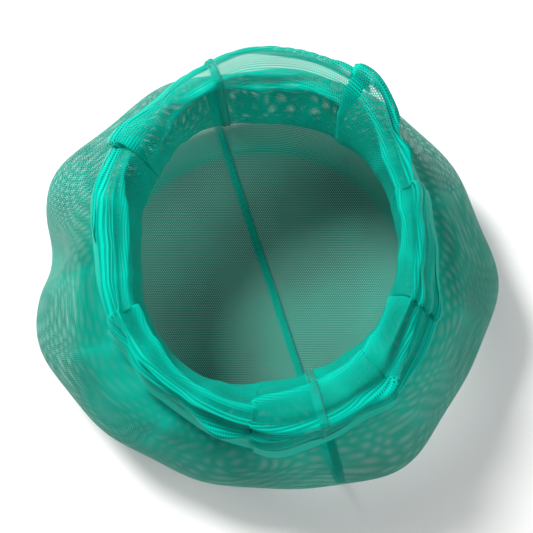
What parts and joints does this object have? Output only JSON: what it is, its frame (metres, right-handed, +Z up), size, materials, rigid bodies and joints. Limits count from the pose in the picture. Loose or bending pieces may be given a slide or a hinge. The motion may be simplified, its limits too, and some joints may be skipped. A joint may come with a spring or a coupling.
{
  "type": "mesh produce bag",
  "caption": "Reusable fine-net produce bag standing open with its mouth rolled out as a cuff, to store and carry loose vegetables and fruit.",
  "frame": {"origin": "on the surface that the bag stands on, under the middle of the bag", "axes": "+Z up through the mouth, -Y to the front, +X to the right"},
  "size_m": [0.3206, 0.3009, 0.1569],
  "materials": {
    "net": "fine knitted hexagonal polyester net, see-through, slight sheen",
    "doubled_net": "the same net turned back on itself, denser",
    "seam": "overlocked net edge, matt",
    "thread": "polyester sewing thread"
  },
  "bodies": {
    "root": {"left_net_panel": "net", "right_net_panel": "net", "left_cuff": "net", "right_cuff": "net", "left_turned_hem": "doubled_net", "right_turned_hem": "doubled_net", "left_hem_thread": "thread", "right_hem_thread": "thread", "back_seam_allowance": "seam", "front_seam_allowance": "seam", "bottom_seam_allowance": "seam", "back_seam_thread": "thread", "front_seam_thread": "thread", "bottom_seam_thread": "thread"}
  },
  "joints": []
}
